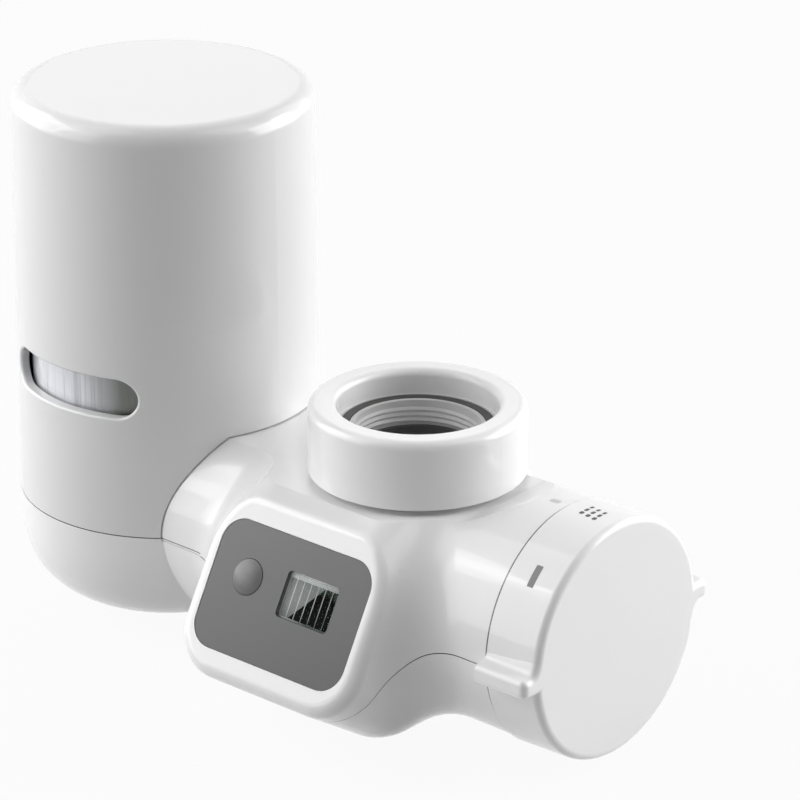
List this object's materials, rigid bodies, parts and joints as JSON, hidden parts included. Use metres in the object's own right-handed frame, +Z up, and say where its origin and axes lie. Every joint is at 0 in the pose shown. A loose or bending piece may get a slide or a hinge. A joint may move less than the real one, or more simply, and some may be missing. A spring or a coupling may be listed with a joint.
{
  "type": "faucet mount water filter",
  "caption": "Tap-mounted water filter: upright cartridge housing, horizontal body with tilted display, fixing nut and adapter for the spout, and a turning outlet dial.",
  "frame": {"origin": "on the axis of the fixing nut at the height where the end of the spout seats", "axes": "+X along the barrel from the cartridge to the selector dial, -Y to the display side, +Z up along the spout"},
  "size_m": [0.132, 0.0656, 0.0996],
  "materials": {
    "white_shell": "glossy moulded",
    "white_nut": "glossy moulded",
    "dial_white": "glossy moulded",
    "white_cover": "satin gloss moulded",
    "adapter_plastic": "matte moulded",
    "seal_rubber": "matte",
    "strainer_steel": "fine brushed",
    "screw_steel": "plated",
    "inner_plastic": "matte moulded",
    "rotor_plastic": "matte moulded",
    "clear_case": "clear",
    "carbon": "grainy",
    "fibre": "fine fibres",
    "grey_panel": "satin",
    "grey_button": "soft satin",
    "window_glass": "clear",
    "lcd_glass": "smooth",
    "board": "solder mask"
  },
  "bodies": {
    "base": {"upper_housing": "white_shell", "lower_housing": "white_shell", "packing_ring": "seal_rubber", "strainer": "strainer_steel", "rotor_cage": "inner_plastic", "rotor_axle": "strainer_steel", "valve_cap": "inner_plastic", "cap_screws": "screw_steel", "stem_seal": "seal_rubber", "click_ball": "screw_steel", "click_spring": "screw_steel", "display_panel": "grey_panel", "display_window": "window_glass", "lcd_display": "lcd_glass", "circuit_board": "board", "coin_battery": "screw_steel", "shower_plate": "strainer_steel", "stream_nozzle": "inner_plastic", "filtered_nozzle": "inner_plastic", "housing_screws": "screw_steel"},
    "adapter": {"faucet_adapter": "adapter_plastic", "spout_washer": "seal_rubber"},
    "nut": {"fixing_nut": "white_nut"},
    "selector": {"selector_dial": "dial_white", "valve_spool": "inner_plastic", "spool_seals": "seal_rubber"},
    "button": {"reset_button": "grey_button"},
    "rotor": {"flow_rotor": "rotor_plastic"},
    "cartridge": {"cartridge_base": "inner_plastic", "nozzle_seals": "seal_rubber", "cartridge_case": "clear_case", "cartridge_lid": "inner_plastic", "carbon_element": "carbon", "fibre_bundle": "fibre"},
    "cover": {"cartridge_cover": "white_cover"}
  },
  "joints": [
    {"name": "adapter_rise", "type": "slide", "parent": "base", "child": "adapter", "axis": [0, 0, 1], "range_m": [0, 0.0045]},
    {"name": "nut_turn", "type": "hinge", "parent": "adapter", "child": "nut", "pos_m": [0, 0, 0], "axis": [0, 0, 1], "range_deg": [0, 540]},
    {"name": "dial_turn", "type": "hinge", "parent": "base", "child": "selector", "pos_m": [0, 0, -0.0267], "axis": [1, 0, 0], "range_deg": [-45, 45]},
    {"name": "reset_press", "type": "slide", "parent": "base", "child": "button", "axis": [0, 0.8746, -0.4848], "range_m": [0, 0.0006], "stiffness_N_per_m": 400},
    {"name": "rotor_spin", "type": "hinge", "parent": "base", "child": "rotor", "pos_m": [0, 0, -0.011], "axis": [0, 0, 1], "continuous": true},
    {"name": "cartridge_lift", "type": "slide", "parent": "base", "child": "cartridge", "axis": [0, 0, 1], "range_m": [0, 0.03]},
    {"name": "cover_lift", "type": "slide", "parent": "cartridge", "child": "cover", "axis": [0, 0, 1], "range_m": [0, 0.085]}
  ],
  "couplings": [
    {"joint": "adapter_rise", "follows": "nut_turn", "m_per_rad": 0.00047746}
  ]
}
